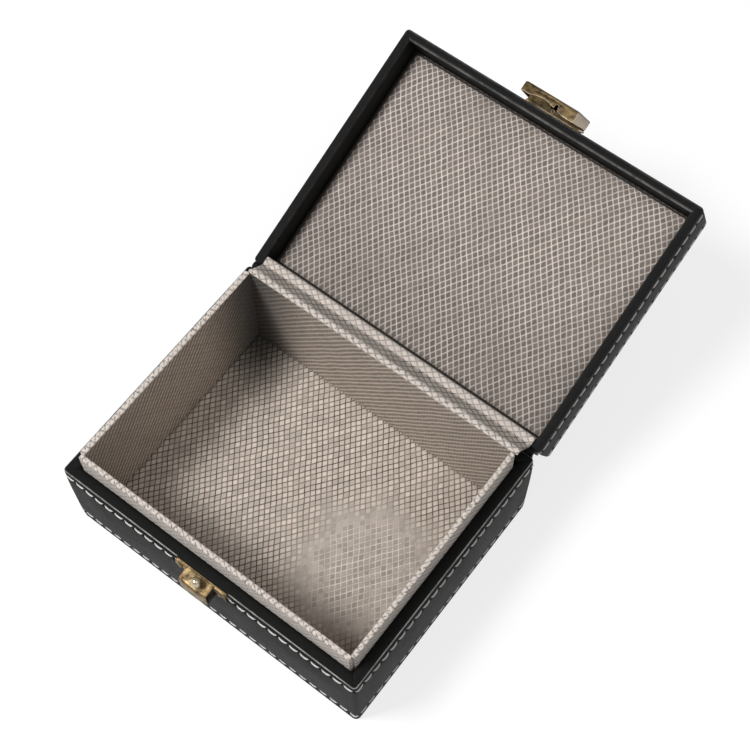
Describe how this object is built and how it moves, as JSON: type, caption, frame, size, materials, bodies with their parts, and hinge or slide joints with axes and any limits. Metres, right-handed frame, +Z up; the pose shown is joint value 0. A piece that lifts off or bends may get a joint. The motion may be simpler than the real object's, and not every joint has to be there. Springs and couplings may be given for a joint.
{
  "type": "signal-blocking key box",
  "caption": "Leather-covered box with a cloth-lined tray and a padded hinged lid that is held shut by a brass press latch, for blocking the signals of car keys.",
  "frame": {"origin": "centre of the base's underside", "axes": "+X to the right along the width, -Y to the front where the latch is, +Z up; stored with the lid open"},
  "size_m": [0.1308, 0.2196, 0.0859],
  "materials": {
    "shell_leather": "black fine-grained bonded leather with a soft sheen",
    "grey_board": "raw fibreboard",
    "shielding_cloth": "metallised cloth with a fine crossed grid of lighter threads",
    "pad_foam": "dense felt-like foam sheet",
    "stitch_thread": "white waxed thread",
    "antique_brass": "brushed antique brass with darkened edges",
    "polished_brass": "polished brass",
    "spring_steel": "blued spring steel"
  },
  "bodies": {
    "base": {"base_underside": "shell_leather", "base_bottom_board": "grey_board", "base_front_board": "grey_board", "base_back_board": "grey_board", "base_left_board": "grey_board", "base_right_board": "grey_board", "base_leather": "shell_leather", "tray_front_board": "grey_board", "tray_back_board": "grey_board", "tray_left_board": "grey_board", "tray_right_board": "grey_board", "tray_front_cloth": "shielding_cloth", "tray_back_cloth": "shielding_cloth", "tray_left_cloth": "shielding_cloth", "tray_right_cloth": "shielding_cloth", "floor_board": "grey_board", "floor_cloth": "shielding_cloth", "base_upper_stitching": "stitch_thread", "base_lower_stitching": "stitch_thread", "strike_bracket": "antique_brass", "ball_stud": "polished_brass", "strike_nails": "antique_brass", "hinge_leather": "shell_leather", "hinge_cloth": "shielding_cloth"},
    "lid": {"lid_top_board": "grey_board", "lid_front_board": "grey_board", "lid_back_board": "grey_board", "lid_left_board": "grey_board", "lid_right_board": "grey_board", "lid_leather": "shell_leather", "lid_pad_cloth": "shielding_cloth", "lid_pad_foam": "pad_foam", "lid_pad_board": "grey_board", "lid_pad_spacers": "grey_board", "lid_rim_stitching": "stitch_thread", "lid_top_stitching": "stitch_thread", "latch_plate": "antique_brass", "latch_nails": "antique_brass", "latch_pin": "antique_brass", "latch_spring": "spring_steel"},
    "cover": {"latch_cover": "antique_brass"}
  },
  "joints": [
    {"name": "lid_hinge", "type": "hinge", "parent": "base", "child": "lid", "pos_m": [0, 0.05295, 0.04315], "axis": [1, 0, 0], "range_deg": [0, 157.2], "deforming": ["hinge_leather", "hinge_cloth"]},
    {"name": "press_hinge", "type": "hinge", "parent": "lid", "child": "cover", "pos_m": [-0.0008, 0.15626, 0.07687], "axis": [-1, 0, 0], "range_deg": [0, 8], "stiffness_Nm_per_rad": 0.15, "springref_deg": -5.73, "deforming": ["latch_spring"]}
  ]
}
